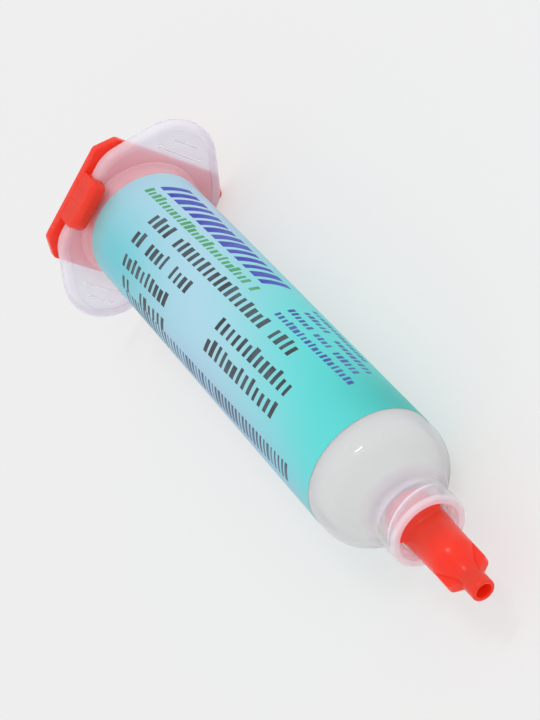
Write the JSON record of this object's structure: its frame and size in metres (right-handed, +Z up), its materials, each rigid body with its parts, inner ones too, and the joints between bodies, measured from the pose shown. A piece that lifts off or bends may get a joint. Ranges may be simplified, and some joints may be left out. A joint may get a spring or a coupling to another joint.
{
  "type": "flux syringe",
  "caption": "Translucent luer-lock dispensing syringe of tacky flux with a winged flange, a colour label, an inner piston, a clip-on end cap and a finned tip cap, lying on its side.",
  "frame": {"origin": "middle of the bounding box's bottom, on the floor that the syringe lies on", "axes": "+X along the barrel toward the tip, which points 2.52 degrees below the horizontal; +Y along the flange's wings; +Z up, through the end cap's two clips"},
  "size_m": [0.0934, 0.033, 0.0241],
  "materials": {
    "natural_polypropylene": "satin, milky and translucent, untinted",
    "label_film": null,
    "white_polyethylene": "moulded, smooth",
    "flux_gel": "wet, cloudy grey-white gel",
    "red_polyethylene": "moulded, orange-red, slightly translucent"
  },
  "bodies": {
    "barrel": {"barrel": "natural_polypropylene", "label": "label_film", "flux_paste": "flux_gel"},
    "piston": {"piston": "white_polyethylene"},
    "end_cap": {"end_cap": "red_polyethylene"},
    "tip_cap": {"tip_cap": "red_polyethylene"}
  },
  "joints": [
    {"name": "piston_advance", "type": "slide", "parent": "barrel", "child": "piston", "axis": [0.999, 0, -0.044], "range_m": [0, 0.05], "deforming": ["flux_paste"]},
    {"name": "end_cap_off", "type": "slide", "parent": "barrel", "child": "end_cap", "axis": [-0.999, 0, 0.044], "range_m": [0, 0.02], "deforming": ["end_cap"]},
    {"name": "tip_cap_off", "type": "slide", "parent": "barrel", "child": "tip_cap", "axis": [0.999, 0, -0.044], "range_m": [0, 0.015]}
  ]
}
